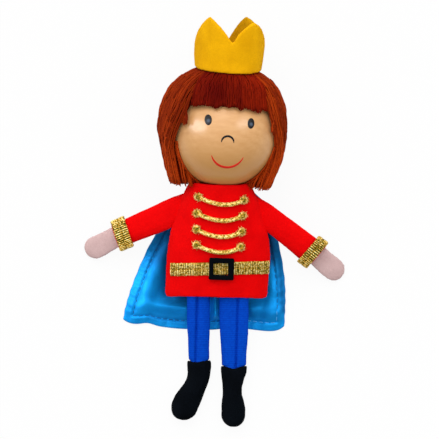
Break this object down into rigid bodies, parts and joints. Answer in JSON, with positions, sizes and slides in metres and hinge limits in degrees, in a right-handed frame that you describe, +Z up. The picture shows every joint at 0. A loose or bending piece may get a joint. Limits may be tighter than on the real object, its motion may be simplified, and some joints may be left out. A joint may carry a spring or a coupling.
{
  "type": "finger puppet",
  "caption": "Prince finger puppet with a wooden ball head drilled for a fingertip, yarn hair, felt crown, felt tunic tube with gold braid, satin cape and soft dangling legs; it lies on its back",
  "frame": {"origin": "centre of the puppet's outline, on the floor under its back", "axes": "+X to the viewer's right and the puppet's left hand, +Y from the boots to the crown, +Z up, out of the face"},
  "size_m": [0.0966, 0.151, 0.0459],
  "materials": {
    "lacquered_beech": "clear satin lacquer",
    "black_paint": "satin paint",
    "red_paint": "satin paint",
    "auburn_yarn": "twisted yarn",
    "yellow_felt": "felt",
    "red_felt": "felt",
    "pink_felt": "felt",
    "black_felt": "felt",
    "gold_braid": "metallic thread",
    "blue_knit": "fine knit",
    "blue_satin": "satin"
  },
  "bodies": {
    "root": {"head": "lacquered_beech", "eye_left": "black_paint", "eye_right": "black_paint", "nose": "black_paint", "smile": "red_paint", "hair": "auburn_yarn", "fringe": "auburn_yarn", "crown": "yellow_felt", "tunic_front": "red_felt", "tunic_back": "red_felt", "chest_braid_1": "gold_braid", "chest_braid_2": "gold_braid", "chest_braid_3": "gold_braid", "chest_braid_4": "gold_braid", "belt": "gold_braid", "buckle": "black_felt", "sleeve_left": "red_felt", "sleeve_right": "red_felt", "cuff_left": "gold_braid", "cuff_right": "gold_braid", "hand_left": "pink_felt", "hand_right": "pink_felt", "leg_left": "blue_knit", "leg_right": "blue_knit", "boot_left": "black_felt", "boot_right": "black_felt", "cape": "blue_satin"}
  },
  "joints": []
}
